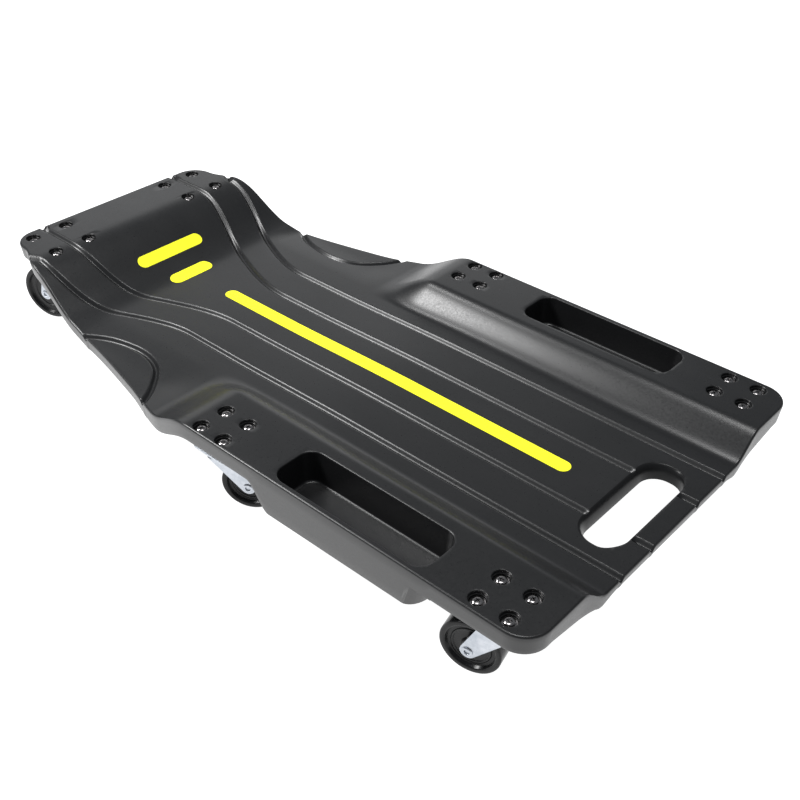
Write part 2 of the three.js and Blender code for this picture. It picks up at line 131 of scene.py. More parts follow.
SMALL = {
    "half": 12.5, "plate": (54, 53), "holes": (35.1, 34.3), "race": 18, "crown": 19.5, "leg": 17,
    "mount": SHOULDER_TOP - SHOULDER_THICK, "top": SHOULDER_TOP,
}
LARGE = {
    "half": 16, "plate": (73, 71), "holes": (52.5, 50.4), "race": 24, "crown": 25, "leg": 21,
    "mount": HEAD_TOP - HEAD_THICK, "top": HEAD_TOP,
}
KINDS = {"head": LARGE, "middle": SMALL, "foot": SMALL}
CASTERS = [f"{place}_{side}" for place in KINDS for side in ("right", "left")]
GAP = 0.3
PLATE = {"thick": 2.5, "corner": 7, "race": 6, "bevel": 0.5}
RACE = {"wall": 1.8, "skirt": 1.3, "hole": 7, "corner": 1.6}
BALL = {"radius": 2.3, "play": 0.4, "apart": 0.8, "lift": 0.05}
FORK = {"sheet": 2.3, "boss": 8, "clear": 2, "bend": 4, "hole_play": 0.5, "bevel": 0.45}
AXLE = {"radius": 3.5, "head": 5.6, "height": 1.6, "hollow": 2.5, "depth": 4}
PIN = {"radius": 4, "head": 7.5, "height": 2.6}
WHEEL = {
    "rim": 6, "recess": 4.2, "hub": 9.5, "round": 2.0,
    "play": 0.4, "ring": {"half": 0.8, "foot": 1.4, "height": 1},
}

STRIPE = {"from": -210, "to": 331, "half": 9}
BARS = {
    "long_bar": {"x": (-332.7, -318), "half": 52.8, "cap": 9},
    "short_bar": {"x": (-294, -274), "half": 33, "cap": 10},
}
DECAL = {"lift": 0.35, "thick": 0.3, "step": 7, "tip": 0.05}

# How finely the bed is sampled along X, as (from, to, step) and as places of their own.
ROW_SPANS = (
    (CORNER - HALF_LENGTH, -375, 3), (-375, -285, 1.8), (-285, -125, 1.4), (-125, -94, 0.8),
    (-94, 5, 2.2), (5, 90, 8), (90, 125, 2), (125, 320, 9), (370, HALF_LENGTH - CORNER, 2.2),
)
ROWS_BEHIND_BOX = (349, 356, 363)
# The number of columns in each zone of the top's half, and the least distance between two of them.
COLUMNS = {"centre": 6, "groove": 21, "between": 8, "slope": 46, "rim": 12, "closest": 0.35}
# The underside's columns, as shares of their number and of the half width that they reach.
UNDER_COLUMNS = {"count": (0, 0.14, 0.50, 0.60, 0.72, 1), "reach": (0, 0.46, 0.70, 0.72, 0.76, 1)}

# Softboxes as (heading around the bed, height, distance, width and depth, power): degrees, metres, watts.
SOFTBOXES = {
    "overhead": (0, 89, 2.6, (0.8, 0.8), 26),
    "head_left": (184, 57, 2.6, (0.45, 0.45), 13),
    "key_left": (217, 43, 2.6, (0.7, 0.7), 52),
    "back_left": (135, 19, 3.2, (3.0, 1.5), 11),
}
AIM_HEIGHT = 0.08
SKY = {"colour": (0.9, 0.95, 1.0, 1), "strength": 0.25}
FLOOR_HALF = 60000
# The camera's place from the bed's middle, and its turns in degrees: around, up and clockwise.
CAMERA = {"lens": 49.03, "sensor": 36, "place": (777.75, -768.94, 806.62), "turns": (41.67, 36.46, 0.441)}


# ---- curves and profiles

def mix(a, b, t):
    return a + (b - a) * t


def ramp(value, low, high):
    t = np.clip((value - low) / (high - low), 0, 1)
    return t * t * (3 - 2 * t)


def eased(value, low, high):
    """A ramp whose curvature also starts and ends at nothing."""
    t = np.clip((value - low) / (high - low), 0, 1)
    return t * t * t * (t * (6 * t - 15) + 10)


def through(pairs, x):
    """A smooth curve through (x, value) pairs, flat where the pairs turn back."""
    at, value = np.array(pairs, float).T
    slopes = np.diff(value) / np.diff(at)
    tangent = np.zeros(len(at))
    before, after = slopes[:-1], slopes[1:]
    same = before * after > 0
    tangent[1:-1][same] = (2 * before * after)[same] / (before + after)[same]
    i = np.clip(np.searchsorted(at, x, side="right") - 1, 0, len(at) - 2)
    span = at[i + 1] - at[i]
    t = np.clip((x - at[i]) / span, 0, 1)
    start = t * (1 - t) ** 2 * span * tangent[i]
    end = t * t * (1 - t) * span * tangent[i + 1]
    return mix(value[i], value[i + 1], ramp(t, 0, 1)) + start - end


def corner_inset(past, radius):
    """How far a round corner pulls an outline in, at this distance past the corner's centre."""
    past = np.clip(past, 0, radius)
    return radius - np.sqrt(radius * radius - past * past)


def soften(path, radius, steps, closed=False):
    """A 2-D path with each of its corners rounded off."""
    out = []
    count = len(path)
    for i, point in enumerate(path):
        here = np.array(point, float)
        if not closed and i in (0, count - 1):
            out.append(tuple(here))
            continue
        before = np.array(path[i - 1], float) - here
        after = np.array(path[(i + 1) % count], float) - here
        cut = min(radius, 0.45 * np.hypot(*before), 0.45 * np.hypot(*after))
        first = here + before / np.hypot(*before) * cut
        last = here + after / np.hypot(*after) * cut
        for t in np.linspace(0, 1, steps + 1):
            out.append(tuple(first * (1 - t) ** 2 + here * 2 * t * (1 - t) + last * t * t))
    return out


def spline(points, steps):
    """A smooth line through points, as short straight runs."""
    p = np.array(points, float)
    p = np.vstack([2 * p[0] - p[1], p, 2 * p[-1] - p[-2]])
    out = []
    for a, b, c, d in zip(p, p[1:], p[2:], p[3:]):
        for t in np.arange(steps) / steps:
            bend = (2 * a - 5 * b + 4 * c - d) * t * t + (3 * b - a - 3 * c + d) * t ** 3
            out.append(0.5 * (2 * b + (c - a) * t + bend))
    return np.array(out + [p[-2]])


def distance_to(line, x, y):
    """The distance from each point to a line of straight runs."""
    nearest = np.full(np.shape(x), np.inf)
    for (ax, ay), (bx, by) in zip(line, line[1:]):
        dx, dy = bx - ax, by - ay
        t = np.clip(((x - ax) * dx + (y - ay) * dy) / (dx * dx + dy * dy), 0, 1)
        nearest = np.minimum(nearest, np.hypot(x - ax - t * dx, y - ay - t * dy))
    return nearest


# ---- meshes

def placed(data, name, matrix):
    item = bpy.data.objects.new(name, data)
    item.matrix_world = matrix
    bpy.context.scene.collection.objects.link(item)
    return item


def new_object(name, part, material, place=TO_ROW):
    """An object from its (points, faces) in millimetres, placed by a matrix in metres."""
    points, faces = part
    mesh = bpy.data.meshes.new(name)
    mesh.from_pydata((np.array(points, float) * MM).tolist(), [], faces)
    mesh.materials.append(material)
    return placed(mesh, name, place)


def solid(name, part, material, place=TO_ROW):
    """The same for a closed body, with every face turned to point out."""
    item = new_object(name, part, material, place)
    mesh = bmesh.new()
    mesh.from_mesh(item.data)
    bmesh.ops.recalc_face_normals(mesh, faces=mesh.faces)
    mesh.to_mesh(item.data)
    mesh.free()
    return item


def smooth(item, angle=38):
    item.data.shade_smooth()
    item.data.set_sharp_from_angle(angle=math.radians(angle))
    return item


def modified(item, kind, **settings):
    """The object with one modifier made part of its mesh."""
    modifier = item.modifiers.new(kind, kind)
    for name, value in settings.items():
        setattr(modifier, name, value)
    bpy.context.view_layer.update()
    final = item.evaluated_get(bpy.context.evaluated_depsgraph_get())
    mesh = bpy.data.meshes.new_from_object(final)
    item.modifiers.clear()
    item.data = mesh
    return item


def bevelled(item, width):
    return modified(
        item, "BEVEL", width=width * MM, segments=2, limit_method="ANGLE",
        angle_limit=math.radians(35), harden_normals=False,
    )


def cut(item, tool):
    modified(
        item, "BOOLEAN", operation="DIFFERENCE", solver="MANIFOLD", object=tool,
        material_mode="TRANSFER",
    )
    bpy.data.objects.remove(tool)
    return item


def settle(item, body=BODY, replaced=()):
    """Hangs a finished piece on the body it rides on, and hides the frame's parts that it stands for."""
    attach(item, body)
    if replaced:
        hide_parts(*replaced)
    return item


def ring_faces(below, above):
    """Quads between two closed rows of point numbers."""
    count = len(below)
    return [
        (below[i], below[(i + 1) % count], above[(i + 1) % count], above[i])
        for i in range(count)
    ]


def stacked(rings):
    """A closed body from rings of points, each with the same number, capped at both ends."""
    points = [point for ring in rings for point in ring]
    size = len(rings[0])
    rows = [list(range(k * size, (k + 1) * size)) for k in range(len(rings))]
    faces = [face for low, high in zip(rows, rows[1:]) for face in ring_faces(low, high)]
    return points, [rows[0][::-1], *faces, rows[-1]]


def turned(profile, segments, loop=False):
    """A body turned about Z from (radius, height) pairs, from one end to the other or as a loop."""
    points, rows = [], []
    turn = np.linspace(0, 2 * math.pi, segments, endpoint=False)
    for radius, height in profile:
        if radius < 1e-6:
            rows.append([len(points)] * segments)
            points.append((0, 0, height))
            continue
        rows.append(list(range(len(points), len(points) + segments)))
        points += [(radius * math.cos(a), radius * math.sin(a), height) for a in turn]
    pairs = list(zip(rows, rows[1:])) + ([(rows[-1], rows[0])] if loop else [])
    faces = []
    for low, high in pairs:
        for face in ring_faces(low, high):
            corners = list(dict.fromkeys(face))
            if len(corners) > 2:
                faces.append(corners)
    return points, faces


def rounded_outline(x, y, corner, steps):
    """The points and outward directions of a rounded rectangle, anticlockwise."""
    points, directions = [], []
    centres = (
        (x[1] - corner, y[1] - corner), (x[0] + corner, y[1] - corner),
        (x[0] + corner, y[0] + corner), (x[1] - corner, y[0] + corner),
    )
    for quarter, (cx, cy) in enumerate(centres):
        for a in np.linspace(0, math.pi / 2, steps + 1) + quarter * math.pi / 2:
            direction = (math.cos(a), math.sin(a))
            directions.append(direction)
            points.append((cx + corner * direction[0], cy + corner * direction[1]))
    return np.array(points), np.array(directions)


def joined(parts):
    """Several (points, faces) pairs as one."""
    points, faces = [], []
    for more_points, more_faces in parts:
        start = len(points)
        points += [tuple(p) for p in more_points]
        faces += [[i + start for i in face] for face in more_faces]
    return points, faces


def moved(part, x, y, z=0):
    points, faces = part
    return (np.array(points, float) + (x, y, z)).tolist(), faces


def mesh_of(item):
    """The mesh of an object that was only needed to make it."""
    mesh = item.data
    bpy.data.objects.remove(item)
    return mesh


# ---- materials

def shader(name, **values):
    """A new material with its main shader, whose plain values are set on the shader itself."""
    material = bpy.data.materials.new(name)
    material.use_nodes = True
    tree = material.node_tree
    main = tree.nodes["Principled BSDF"]
    for socket, value in values.items():
        main.inputs[socket.replace("_", " ")].default_value = value
    coordinates = tree.nodes.new("ShaderNodeTexCoord").outputs["Object"]
    return material, tree, main, coordinates


def noise(tree, coordinates, scale, detail=3.0, roughness=0.55):
    node = tree.nodes.new("ShaderNodeTexNoise")
    node.inputs["Scale"].default_value = scale
    node.inputs["Detail"].default_value = detail
    node.inputs["Roughness"].default_value = roughness
    tree.links.new(coordinates, node.inputs["Vector"])
    return node.outputs["Fac"]


def stretched(tree, coordinates, scale):
    node = tree.nodes.new("ShaderNodeMapping")
    node.inputs["Scale"].default_value = scale
    tree.links.new(coordinates, node.inputs["Vector"])
    return node.outputs["Vector"]


def graded(tree, value, low, high, start=0.3):
    """A colour that goes from low to high as a value goes from start to 0.7."""
    node = tree.nodes.new("ShaderNodeValToRGB")
    for element, place, colour in zip(node.color_ramp.elements, (start, 0.7), (low, high)):
        element.position = place
        element.color = (*colour, 1)
    tree.links.new(value, node.inputs["Fac"])
    return node.outputs["Color"]


def ranged(tree, value, low, high, start=0.3, end=0.7):
    """A value that goes from low to high as another goes from start to end."""
    node = tree.nodes.new("ShaderNodeMapRange")
    node.inputs["From Min"].default_value = start
    node.inputs["From Max"].default_value = end
    node.inputs["To Min"].default_value = low
    node.inputs["To Max"].default_value = high
    tree.links.new(value, node.inputs["Value"])
    return node.outputs["Result"]


def tinted(tree, share, colour, tint):
    """A colour that turns to a plain tint by a share."""
    node = tree.nodes.new("ShaderNodeMix")
    node.data_type = "RGBA"
    colours = [socket for socket in node.inputs if socket.type == "RGBA"]
    tree.links.new(share, node.inputs["Factor"])
    tree.links.new(colour, colours[0])
    colours[1].default_value = (*tint, 1)
    return [socket for socket in node.outputs if socket.type == "RGBA"][0]


def coated(tree, main, colour, roughness):
    tree.links.new(colour, main.inputs["Base Color"])
    tree.links.new(roughness, main.inputs["Roughness"])


def bumped(tree, main, layers):
    """Lays bumps of (height, strength, distance in metres) over each other."""
    last = None
    for height, strength, distance in layers:
        node = tree.nodes.new("ShaderNodeBump")
        node.inputs["Strength"].default_value = strength
        node.inputs["Distance"].default_value = distance
        tree.links.new(height, node.inputs["Height"])
        if last:
            tree.links.new(last, node.inputs["Normal"])
        last = node.outputs["Normal"]
    tree.links.new(last, main.inputs["Normal"])


def moulded_plastic(name, sheen):
    """Near-black polyethylene with a fine moulded grain, faint flow marks, and lighter convex edges that
    are partly wear and partly a painted edge highlight.
    """
    material, tree, main, at = shader(name, Specular_IOR_Level=sheen)
    grain = noise(tree, at, scale=1500, detail=2)
    flow = noise(tree, stretched(tree, at, (1, 2.5, 1)), scale=9, detail=4)
    specks = noise(tree, at, scale=420, roughness=0.7)
    colour = graded(tree, flow, (0.0082, 0.0084, 0.0090), (0.0122, 0.0122, 0.0128))
    # Convex edges are lightened: partly wear, partly a painted highlight along the crests and lips.
    edge_pointiness = tree.nodes.new("ShaderNodeNewGeometry").outputs["Pointiness"]
    edge_wear_and_highlight = ranged(tree, edge_pointiness, 0.0, 0.35, start=0.53, end=0.62)
    colour = tinted(tree, edge_wear_and_highlight, colour, (0.024, 0.024, 0.026))
    coated(tree, main, colour, ranged(tree, specks, 0.27, 0.36))
    bumped(tree, main, [(flow, 0.05, 0.002), (grain, 0.10, 0.00012)])
    return material


def printed_yellow():
    """Fluorescent yellow ink with a painted glow (a faint emission) on top of its colour: slightly
    uneven, with the deck's grain showing through.
    """
    # The faint emission is a painted glow: the ink lights itself whatever the lamps do.
    material, tree, main, at = shader("printed_yellow", Emission_Strength=0.25)
    main.inputs["Emission Color"].default_value = (1.0, 0.99, 0.02, 1)
    cover = noise(tree, at, scale=60, detail=4)
    colour = graded(tree, cover, (0.94, 0.95, 0.010), (0.99, 0.99, 0.016))
    coated(tree, main, colour, ranged(tree, noise(tree, at, scale=300), 0.45, 0.6))
    bumped(tree, main, [(noise(tree, at, scale=1500, detail=2), 0.12, 0.0001)])
    return material


def zinc_plate():
    """Bright zinc plating: a bluish white with faint spangle and rolling marks."""
    material, tree, main, at = shader("zinc_plate", Metallic=1.0)
    cloud = noise(tree, at, scale=90, detail=4)
    colour = graded(tree, cloud, (0.38, 0.41, 0.45), (0.54, 0.56, 0.60))
    coated(tree, main, colour, ranged(tree, noise(tree, at, scale=240), 0.24, 0.40))
    rolled = noise(tree, stretched(tree, at, (1, 12, 1)), scale=320, detail=2)
    bumped(tree, main, [(rolled, 0.10, 0.0001)])
    return material


def shade_darkened_steel():
    """The screws' plating: the same zinc, smoother, and darker as painted shade for the deep counterbores
    that the screws sit in.
    """
    material, tree, main, at = shader("screw_steel", Metallic=1.0)
    cloud = noise(tree, at, scale=500)
    # These dark greys are painted shade, standing for the dark counterbores.
    colour = graded(tree, cloud, (0.24, 0.23, 0.23), (0.42, 0.40, 0.40), start=0.35)
    coated(tree, main, colour, ranged(tree, noise(tree, at, scale=900), 0.12, 0.22))
    bumped(tree, main, [(noise(tree, at, scale=1200), 0.08, 0.0001)])
    return material


def wheel_plastic():
    """Hard glossy black plastic with faint dust and fine scuffs."""
    material, tree, main, at = shader("wheel_plastic", Specular_IOR_Level=0.22)
    dust = noise(tree, at, scale=140, detail=4)
    scuffs = noise(tree, at, scale=260, detail=4)
    colour = graded(tree, dust, (0.006, 0.006, 0.0065), (0.011, 0.011, 0.0115))
    coated(tree, main, colour, ranged(tree, scuffs, 0.16, 0.30))
    bumped(tree, main, [(noise(tree, at, scale=700), 0.05, 0.0001)])
    return material


def studio_floor():
    """White paper that glows as if lit from all round."""
    material, tree, main, at = shader("studio_floor", Roughness=0.9, Emission_Strength=1.0)
    main.inputs["Emission Color"].default_value = (1, 1, 1, 1)
    paper = noise(tree, at, scale=2.0)
    colour = graded(tree, paper, (0.40, 0.40, 0.40), (0.42, 0.42, 0.42))
    tree.links.new(colour, main.inputs["Base Color"])
    return material


PLASTIC = moulded_plastic("moulded_plastic", 0.5)
# The hand slot's walls get a duller copy of the plastic, a painted shade: they stay dark as if they
# reflected the shaded floor under the bed, which the glowing floor does not show.
SLOT_SHADE_PLASTIC = moulded_plastic("slot_shade_plastic", 0.2)
YELLOW = printed_yellow()
ZINC = zinc_plate()
STEEL = shade_darkened_steel()
BLACK = wheel_plastic()


# ---- the bed's surfaces

def half_width(x, inset):
    """The outline's half width at x, drawn in by inset all round."""
    lean = (through(PLAN, x + 1) - through(PLAN, x - 1)) / 2
    past = np.abs(x) - (HALF_LENGTH - CORNER)
    return through(PLAN, x) - inset * np.sqrt(1 + lean ** 2) - corner_inset(past, CORNER - inset)


def groove_line(groove, x):
    line = mix(groove["straight"], groove["head"], ramp(-x, *groove["x"]))
    if "exit" in groove:
        start, slope = groove["exit"]
        line = line + slope * np.maximum(0, start - x)
    return line


def shoulder_share(x, s):
    return ramp(x, *SHOULDER_FRONT) * ramp(s, *SHOULDER_SLOPE)


def head_share(x):
    return eased(-x, *HEAD_RAMP)


def skin(x, s):
    """The top without its grooves, at x and at distance s from the middle."""
    level = mix(DECK_HEAD, DECK_FOOT, ramp(x, -100, 100))
    along = ramp(-x, *WAIST_DROP["along"]) - ramp(-x, *WAIST_DROP["fades"])
    deck = level - WAIST_DROP["depth"] * ramp(s, *WAIST_DROP["across"]) * along
    return mix(deck, HEAD_TOP, head_share(x)) + (SHOULDER_TOP - deck) * shoulder_share(x, s)


def groove_depth(distance):
    """The depth of a groove with a round bottom and round lips, at a distance from its middle."""
    t = np.clip(np.abs(distance) / GROOVE["half"], 0, 1)
    return GROOVE["depth"] * 0.5 * (1 + np.cos(math.pi * t))


EAR_LINE = spline(EAR, 6)


def ear_line(x):
    """The distance from the middle of the groove around the waist's pad, run on past its ends."""
    return np.interp(x, *EAR_LINE.T)


def top_height(x, s):
    """The top with its grooves."""
    depths = []
    for groove in (INNER, OUTER):
        lean = (groove_line(groove, x + 1) - groove_line(groove, x - 1)) / 2
        away = (s - groove_line(groove, x)) / np.sqrt(1 + lean ** 2)
        if groove is INNER:
            gap = np.maximum(0, np.minimum(x - INNER_GAP[0], INNER_GAP[1] - x))
            away = np.hypot(away, gap)
        depths.append(groove_depth(away))
    depths.append(groove_depth(distance_to(EAR_LINE, x, s)))
    return skin(x, s) - np.max(depths, axis=0)


def tray_drop(x, s):
    """How far the tray's box hangs below the shoulder's underside."""
    (head_top, head_low), (foot_low, foot_top) = TRAY_BOX["head"], TRAY_BOX["foot"]
    head = ramp(x, head_top, head_low)
    past = np.clip((x - foot_low) / (foot_top - foot_low), 0, 1)
    foot = 1 - past ** 2
    inner = ramp(s, *TRAY_BOX["inner"])
    drop = mix(*TRAY_BOX["drop"], np.clip((x - head_low) / (foot_low - head_low), 0, 1))
    return drop * np.minimum(np.minimum(head, foot), inner)


def under_height(x, s):
    plain = mix(DECK_THICK, HEAD_THICK, head_share(x))
    thick = mix(plain, SHOULDER_THICK, np.minimum(ramp(x, *THICKENING), ramp(s, *SHOULDER_SLOPE)))
    bevel = FOOT_BEVEL["depth"] * ramp(x, *FOOT_BEVEL["x"]) * (1 - ramp(s, *FOOT_BEVEL["across"]))
    plain_under = skin(x, s) - thick
    climb = FOOT_UNDER["low"] + FOOT_UNDER["rise"] * np.maximum(0, s - FOOT_UNDER["start"])
    under = mix(plain_under, np.minimum(plain_under, climb), ramp(x, *FOOT_UNDER["x"]))
    edge = through(PLAN, x)
    lip = EDGE_LIP["depth"] * ramp(s, edge - 4, edge - 2) * ramp(x, *EDGE_LIP["from"])
    return under + bevel - tray_drop(x, s) - lip * (1 - ramp(x, *EDGE_LIP["to"]))


def bed_rows():
    """Where the bed is sampled along X: close together where it curves."""
    end = HALF_LENGTH - CORNER
    quarter = np.sin(np.linspace(0, math.pi / 2, 13))
    arc = end + (CORNER - EDGE["top"]) * quarter
    middle = [np.arange(*span) for span in ROW_SPANS]
    box_foot = TRAY_BOX["foot"][1]
    box_round = 20
    foot_box = box_foot - box_round + box_round * np.sin(np.linspace(0, math.pi / 2, 11))
    return np.unique(np.round(np.concatenate([-arc, *middle, foot_box, ROWS_BEHIND_BOX, arc]), 4))


def top_columns(x, edge):
    """The distances from the middle at which the top is sampled in one row."""
    across = np.linspace(-1.15, 1.15, COLUMNS["groove"]) * GROOVE["half"]
    inner = groove_line(INNER, x) + across
    outer = min(groove_line(OUTER, x), edge) + across
    lean = (ear_line(x + 1) - ear_line(x - 1)) / 2
    ear = ear_line(x) + across * math.sqrt(1 + lean ** 2)
    slope_end = max(outer[-1] + 1, min(ear[0], edge))
    centre = np.linspace(0, inner[0], COLUMNS["centre"])[:-1]
    between = np.linspace(inner[-1], outer[0], COLUMNS["between"])[1:-1]
    slope = np.linspace(outer[-1], slope_end, COLUMNS["slope"])[1:-1]
    rim = np.linspace(ear[-1], max(ear[-1], edge), COLUMNS["rim"])[1:]
    columns = np.concatenate([centre, inner, between, outer, slope, ear, rim])
    to_edge = np.arange(len(columns))[::-1]
    return np.minimum(columns, edge - COLUMNS["closest"] * to_edge)


def under_shares(count):
    """The same for the underside, as shares of its half width, from one edge to the other."""
    half = np.interp(np.linspace(0, 1, count), UNDER_COLUMNS["count"], UNDER_COLUMNS["reach"])
    return np.concatenate([-half[:0:-1], half])


def loop_of(grid):
    """The numbers around the edge of a grid of point numbers, in order."""
    return np.concatenate([grid[0, :-1], grid[:-1, -1], grid[-1, :0:-1], grid[:0:-1, 0]])


def grid_faces(grid, flip):
    a, b, c, d = grid[:-1, :-1], grid[1:, :-1], grid[1:, 1:], grid[:-1, 1:]
    order = (a, d, c, b) if flip else (a, b, c, d)
    return np.stack([corner.ravel() for corner in order], axis=1).tolist()


def mirrored(half):
    """Rows of distances from the middle, as rows of Y from one edge to the other."""
    return np.hstack([-half[:, :0:-1], half])


def outward_around(px, py):
    """The outward directions around a closed loop that runs clockwise."""
    tx = np.roll(px, -1) - np.roll(px, 1)
    ty = np.roll(py, -1) - np.roll(py, 1)
    length = np.hypot(tx, ty)
    return -ty / length, tx / length


def top_sheet():
    """The rows along X and the top's points, as grids."""
    rows = bed_rows()
    edges = half_width(rows, EDGE["top"])
    y = mirrored(np.array([top_columns(x, edge) for x, edge in zip(rows, edges)]))
    x = np.repeat(rows[:, None], y.shape[1], axis=1)
    return rows, (x, y, top_height(x, np.abs(y)))


def under_sheet(rows, grid, loop, ux, uy):
    """The underside's points, whose edge is a given loop, as grids."""
    slot_of = {number: i for i, number in enumerate(loop)}
    share = under_shares((grid.shape[1] + 1) // 2)
    x = np.empty(grid.shape)
    y = np.empty(grid.shape)
    for r, row in enumerate(rows):
        left, right = slot_of[grid[r, 0]], slot_of[grid[r, -1]]
        y[r] = share * (uy[right] - uy[left]) / 2
        x[r] = row + (ux[right] - row) * np.abs(share)
    for r in (0, -1):
        ends = [slot_of[number] for number in grid[r]]
        x[r], y[r] = ux[ends], uy[ends]
    return x, y, under_height(x, np.abs(y))


def edge_rings(loop_points, normals, side, reach, low):
    """The rounded top edge, the sloping side and the rounded bottom edge, as rings from above."""
    px, py, pz = loop_points
    nx, ny = normals
    steps = []
    for a in np.radians((18, 36, 54, 72, 90)):
        steps.append((EDGE["top"] * math.sin(a), pz - EDGE["top"] * (1 - math.cos(a))))
    for t in (0.25, 0.5, 0.75, 1):
        height = mix(pz - EDGE["top"], low + EDGE["bottom"], t)
        steps.append((EDGE["top"] - EDGE["slope"] * side * t, height))
    for a in np.radians((30, 60)):
        steps.append((reach + EDGE["bottom"] * math.cos(a), low + EDGE["bottom"] * (1 - math.sin(a))))
    return [(px + nx * out, py + ny * out, height) for out, height in steps]


def bed_mesh():
    """The bed as two sheets, top and underside, joined by rounded edges."""
    rows, top = top_sheet()
    grid = np.arange(top[0].size).reshape(top[0].shape)
    loop = loop_of(grid)
    px, py, pz = (sheet.ravel()[loop] for sheet in top)
    nx, ny = outward_around(px, py)

    # The underside's edge lies where the sloping side and the bottom rounding end.
    low = under_height(px, np.abs(py))
    side = np.maximum(pz - EDGE["top"] - low - EDGE["bottom"], 0.5)
    reach = EDGE["top"] - EDGE["slope"] * side - EDGE["bottom"]
    ux, uy = px + nx * reach, py + ny * reach
    low = under_height(ux, np.abs(uy))
    under = under_sheet(rows, grid, loop, ux, uy)
    rings = edge_rings((px, py, pz), (nx, ny), side, reach, low)

    sheets = [np.stack([part.ravel() for part in sheet], axis=1) for sheet in (top, under)]
    sheets += [np.stack(ring, axis=1) for ring in rings]
    under_grid = grid + grid.size
    first_ring = 2 * grid.size
    numbers = [first_ring + k * len(loop) + np.arange(len(loop)) for k in range(len(rings))]
    numbers = [loop, *numbers, loop_of(under_grid)]
    faces = grid_faces(grid, False) + grid_faces(under_grid, True)
    for upper, lower in zip(numbers, numbers[1:]):
        after = np.roll(upper, -1), np.roll(lower, -1)
        faces += np.stack([upper, lower, after[1], after[0]], axis=1).tolist()
    return np.vstack(sheets), faces


# ---- what is cut from the bed

def tray_cutter(side):
    """The tray's pocket: a rolled lip, drafted walls and a rounded floor."""
    y = TRAY["y"] if side > 0 else (-TRAY["y"][1], -TRAY["y"][0])
    points, directions = rounded_outline(TRAY["x"], y, TRAY["corner"], 10)
    lip, fillet, floor, draft = TRAY["lip"], TRAY["fillet"], TRAY["floor"], TRAY["draft"]
    top = SHOULDER_TOP + SKIM["tray"]
    levels = [(lip, top + PAST)]
    for a in np.radians(range(0, 91, 15)):
        levels.append((lip * (1 - math.sin(a)), top - lip * (1 - math.cos(a))))
    levels += [(-draft * t, mix(top - lip, floor + fillet, t)) for t in (0.33, 0.66, 1)]
    for a in np.radians((22.5, 45, 67.5, 90)):
        levels.append((-draft - fillet * (1 - math.cos(a)), floor + fillet * (1 - math.sin(a))))
    rings = []
    for out, z in reversed(levels):
        flat = points + directions * out
        rings.append([(px, py, z) for px, py in flat])
    return stacked(rings)


def box_end_cutter(side):
    """What is cut from below the shoulder, so that the tray's box ends in an upright round corner."""
    along, across = BOX_END["along"], BOX_END["across"]
    past, inner = BOX_END["past"], BOX_END["inner"]
    turns = np.radians(np.linspace(0, 90, 13))
    rings = []
    for end, edge, z in BOX_END["levels"]:
        outer = edge + BOX_END["outside"]
        corner = [(end - along * (1 - math.sin(a)), edge - across * (1 - math.cos(a))) for a in turns]
        outline = [(end - along - 1, outer), *corner, (end, inner), (past, inner), (past, outer)]
        rings.append([(x, side * y, z) for x, y in outline])
    return stacked(rings)


def slot_cutter():
    """The hand slot: its head side and ends roll over into the deck, its foot side is crisp."""
    points, directions = rounded_outline(SLOT["x"], (-SLOT["half"], SLOT["half"]), SLOT["corner"], 12)
    crisp = ramp(directions[:, 0], 0.1, 0.95)[:, None]
    wide = mix(SLOT["roll"][0], SLOT["edge"], crisp)
    deep = mix(SLOT["roll"][1], SLOT["edge"], crisp)
    top = DECK_FOOT + SKIM["slot"]
    bottom = DECK_FOOT - DECK_THICK - SKIM["slot"]
    under = SLOT["under"]
    levels = [(under, bottom - PAST), (under, bottom), (0, bottom + under)]
    for a in np.radians(range(90, -1, -9)):
        levels.append((wide * (1 - math.sin(a)), top - deep * (1 - math.cos(a))))
    levels.append((wide, top + PAST))
    rings = []
    for out, z in levels:
        heights_here = np.broadcast_to(z, (len(points), 1))
        rings.append(np.hstack([points + directions * out, heights_here]).tolist())
    return stacked(rings)


def screw_places(kind):
    along, across = (spacing / 2 for spacing in kind["holes"])
    return [(-along, -across), (along, -across), (along, across), (-along, across)]


def bore_cutter(kind):
    """A screw's hole, and its counterbore with a ledge part way down and a rolled lip."""
    top, low = kind["top"], kind["mount"] - PAST
    hole, radius, lip = BORE["hole"], BORE["radius"], BORE["lip"]
    floor, ledge = top - BORE["depth"], top - BORE["ledge"]
    inner = radius - BORE["step"]
    at_floor, at_ledge = BORE["floor_bevel"], BORE["ledge_bevel"]
    profile = [(0, low), (hole, low), (hole, floor), (inner - at_floor, floor), (inner, floor + at_floor)]
    profile += [(inner, ledge - at_ledge), (inner + at_ledge, ledge), (radius, ledge)]
    for a in np.radians(range(90, -1, -15)):
        height = top + SKIM["bore"] - lip * (1 - math.cos(a))
        profile.append((radius + lip * (1 - math.sin(a)), height))
    profile += [(radius + lip, top + PAST), (0, top + PAST)]
    return turned(profile, 40)


def pins():
    """Each caster's name, kind, king pin, wheel centre and heading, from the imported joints, in mm."""
    at = {joint["name"]: np.array(joint["pos_m"]) / MM for joint in frame["joints"]}
    out = {}
    for name in CASTERS:
        pin, wheel = at[f"swivel_{name}"], at[f"roll_{name}"]
        trail = math.hypot(wheel[0] - pin[0], wheel[1] - pin[1])
        heading = math.atan2(wheel[1] - pin[1], wheel[0] - pin[0])
        kind = KINDS[name.split("_")[0]]
        out[name] = {**kind, "pin": pin, "trail": trail, "radius": wheel[2], "heading": heading}
    return out


PINS = pins()


